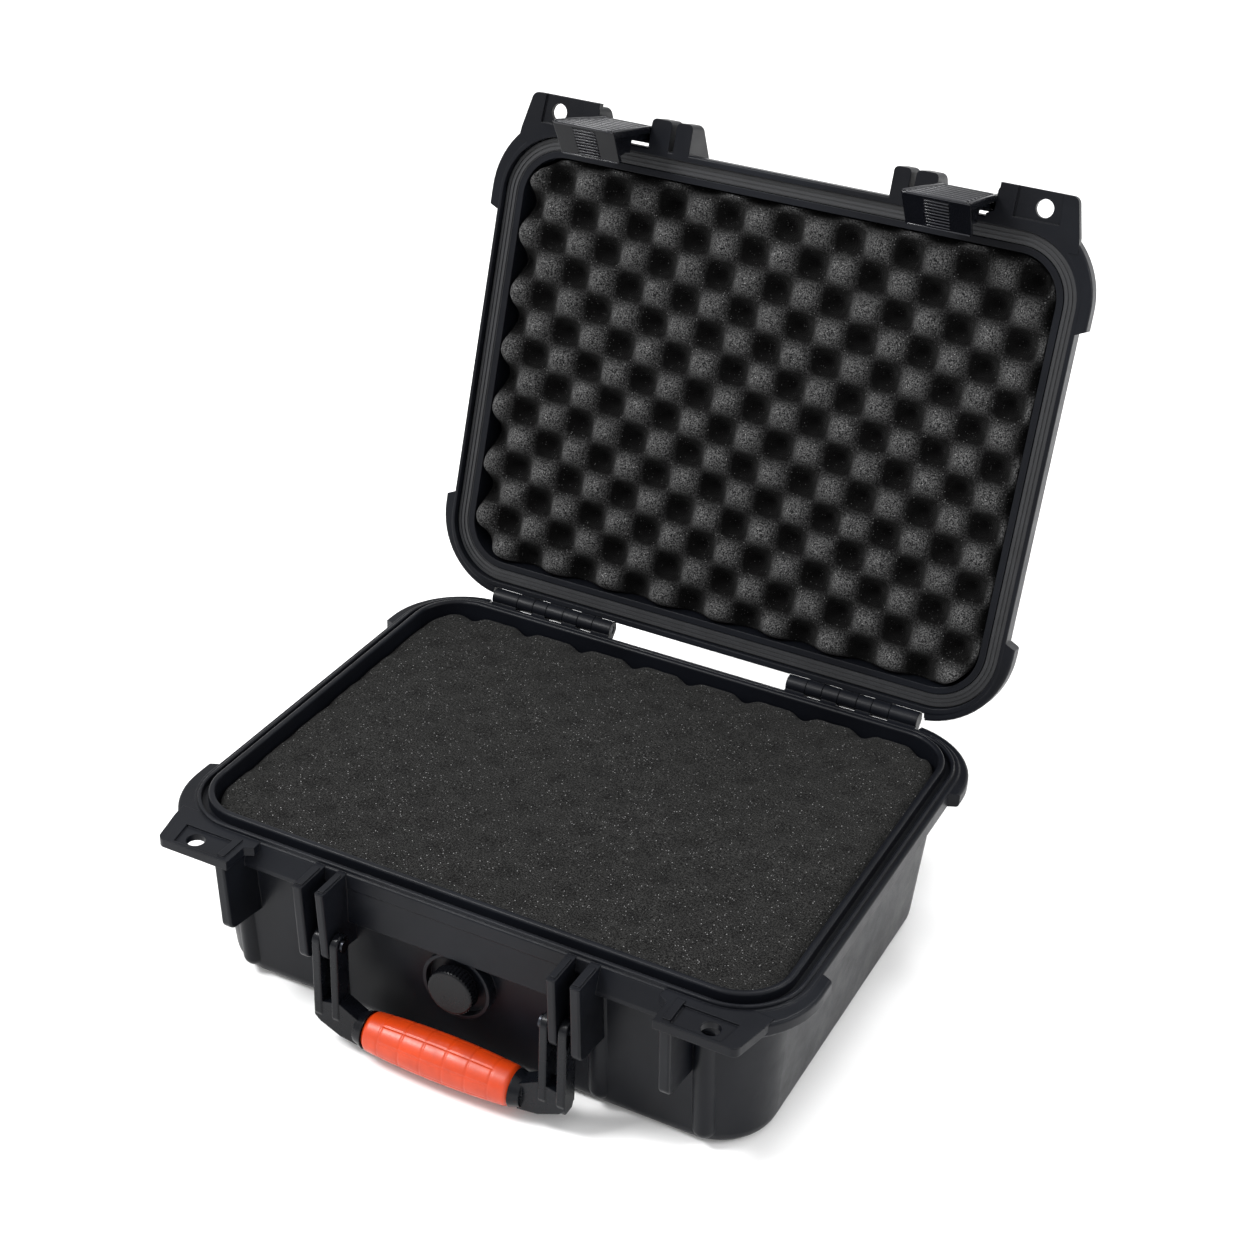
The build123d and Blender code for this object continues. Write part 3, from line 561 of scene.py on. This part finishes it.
def rounded_bar(mesh, start, end, outward, width, height):
    """Bar from start to end with a rounded back that stands out by height."""
    along = (end - start).normalized()
    side = along.cross(outward).normalized()
    outline = [(-0.5, -0.3), (-0.46, 0.4), (-0.26, 0.86), (0.0, 1.0), (0.26, 0.86), (0.46, 0.4), (0.5, -0.3)]
    loops = []
    inset = along * width * 0.4
    for point, shrink in ((start, 0.6), (start + inset, 1.0), (end - inset, 1.0), (end, 0.6)):
        loops.append([mesh.verts.new(point + side * (u * width) + outward * (v * height * shrink))
                      for u, v in outline])
    for first, second in zip(loops, loops[1:]):
        for k in range(len(outline)):
            other = (k + 1) % len(outline)
            mesh.faces.new((first[k], first[other], second[other], second[k]))
    mesh.faces.new(loops[0])
    mesh.faces.new(loops[-1][::-1])


def latch_ridges(node, body, middle_x):
    """Ridges, side borders and lip lines of one latch."""
    mesh = bmesh.new()
    down = FACE_FOOT - FACE_TOP
    outward = Vector((0, down.z, -down.y)).normalized()
    back = LIP_TAIL - FACE_FOOT
    under = Vector((0, back.z, -back.y)).normalized()

    def at(share, x_share, base, run, narrow, wide):
        """Point on a leaning face: share down the face, x_share of the half width."""
        half = narrow + (wide - narrow) * share
        return base + run * share + Vector((middle_x + x_share * half, 0, 0))

    face = (FACE_TOP, down, FACE_TOP_HALF, FACE_FOOT_HALF)
    lip = (FACE_FOOT, back, FACE_FOOT_HALF, LIP_TAIL_HALF)
    for index in range(8):
        share = (index + 1.25) / 8.4
        rounded_bar(mesh, at(share, -0.88, *face), at(share, 0.88, *face), outward, 2.6 * MM, 0.9 * MM)
    for side in (-1, 1):
        top, foot = at(0.06, side * 0.955, *face), at(0.985, side * 0.955, *face)
        rounded_bar(mesh, top, foot, outward, 1.3 * MM, 1.0 * MM)
    for index in range(9):
        share = (index + 1.7) / 10.8
        rounded_bar(mesh, at(share, -0.36, *lip), at(share, 0.36, *lip), under, 0.9 * MM, 0.45 * MM)
    for share in (0.03, 0.97):
        rounded_bar(mesh, at(share, -0.97, *lip), at(share, 0.97, *lip), under, 0.9 * MM, 0.5 * MM)
    bmesh.ops.recalc_face_normals(mesh, faces=mesh.faces)
    data = bpy.data.meshes.new(node + "_ridges")
    mesh.to_mesh(data)
    mesh.free()
    data.transform(SWING_OPEN)
    for polygon in data.polygons:
        polygon.use_smooth = True
    data.materials.append(RIDGE)
    piece = bpy.data.objects.new(node + "_ridges", data)
    bpy.context.scene.collection.objects.link(piece)
    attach(piece, body)
    return piece


ridges = []
for node, body in (("latch_left", "left_latch"), ("latch_right", "right_latch")):
    low, high = closed_box(node)
    ridges.append(latch_ridges(node, body, (low.x + high.x) / 2))
print("latch ridges", [(piece.name, len(piece.data.polygons)) for piece in ridges])

# %% [markdown]
# ## Studio
# A pale floor, a pale surround, three soft lights and a broad one overhead. The key comes from the upper left and
# front, so the egg-crate peaks are lit on their upper sides and their hollows go dark. A small light from the
# right draws the pale line on the rim.

# %% Studio
def soft_light(name, place, aim, width, watts, tint="#FFFFFF"):
    """Square soft light at place, turned towards aim."""
    data = bpy.data.lights.new(name, "AREA")
    data.size = width
    data.energy = watts
    data.color = linear(tint)[:3]
    light = bpy.data.objects.new(name, data)
    light.location = place
    light.rotation_euler = (Vector(aim) - Vector(place)).to_track_quat("-Z", "Y").to_euler()
    bpy.context.scene.collection.objects.link(light)
    return light


def studio_floor():
    """Pale matt floor under the case."""
    material, tree, surface = new_material("floor, pale matt paint")
    speckle = remap(tree, cell_noise(tree, 40, 2.0), 0.3, 0.7, 0.0, 1.0)
    plug(tree, surface, Base_Color=blend_colors(tree, speckle, linear("#F6F6F6"), linear("#F9F9F9")),
         Roughness=0.9, Specular_IOR_Level=0.1)
    mesh = bmesh.new()
    bmesh.ops.create_grid(mesh, x_segments=8, y_segments=8, size=40.0)
    data = bpy.data.meshes.new("studio_floor")
    mesh.to_mesh(data)
    mesh.free()
    floor = bpy.data.objects.new("studio_floor", data)
    floor.data.materials.append(material)
    bpy.context.scene.collection.objects.link(floor)
    return floor


CASE_MIDDLE = (Vector(CAD_BOX[0]) + Vector(CAD_BOX[1])) / 2
studio_floor()
soft_light("key_upper_left", (-0.9, -0.9, 1.7), CASE_MIDDLE, 0.5, 34)
soft_light("edge_right", (1.4, 0.2, 0.9), CASE_MIDDLE, 0.4, 8)
soft_light("top_back", (0.3, 0.9, 1.8), CASE_MIDDLE, 0.35, 12)
overhead = bpy.data.lights.new("overhead", "SUN")
overhead.energy = 1.3
overhead.angle = radians(100)
overhead_object = bpy.data.objects.new("overhead", overhead)
overhead_object.rotation_euler = (radians(12), radians(-14), 0)
bpy.context.scene.collection.objects.link(overhead_object)
world = bpy.data.worlds.new("studio surround")
world.use_nodes = True
world.node_tree.nodes["Background"].inputs["Color"].default_value = linear("#FFFFFF")
world.node_tree.nodes["Background"].inputs["Strength"].default_value = 0.88
bpy.context.scene.world = world
bpy.context.scene.view_settings.view_transform = "Standard"

# %% [markdown]
# ## Camera
# A medium-long lens looks down from the front right, a metre away, with a very slight tilt of the horizon.

# %% Camera
AIM = Vector((19.3 * MM, 0.0, 188.5 * MM))
DISTANCE = 1047.3 * MM
AZIMUTH, ELEVATION, ROLL = radians(26.168), radians(30.679), radians(2.336)

camera_data = bpy.data.cameras.new("camera")
camera_data.lens = 63.81
camera_data.sensor_width = 36.0
camera = bpy.data.objects.new("camera", camera_data)
backwards = Vector((sin(AZIMUTH) * cos(ELEVATION), -cos(AZIMUTH) * cos(ELEVATION), sin(ELEVATION)))
camera.location = AIM + DISTANCE * backwards
camera.rotation_mode = "QUATERNION"
turn = backwards.to_track_quat("Z", "Y")
camera.rotation_quaternion = turn @ Matrix.Rotation(ROLL, 4, "Z").to_quaternion()
bpy.context.scene.collection.objects.link(camera)
bpy.context.scene.camera = camera
print("camera at mm", [round(v / MM) for v in camera.location])
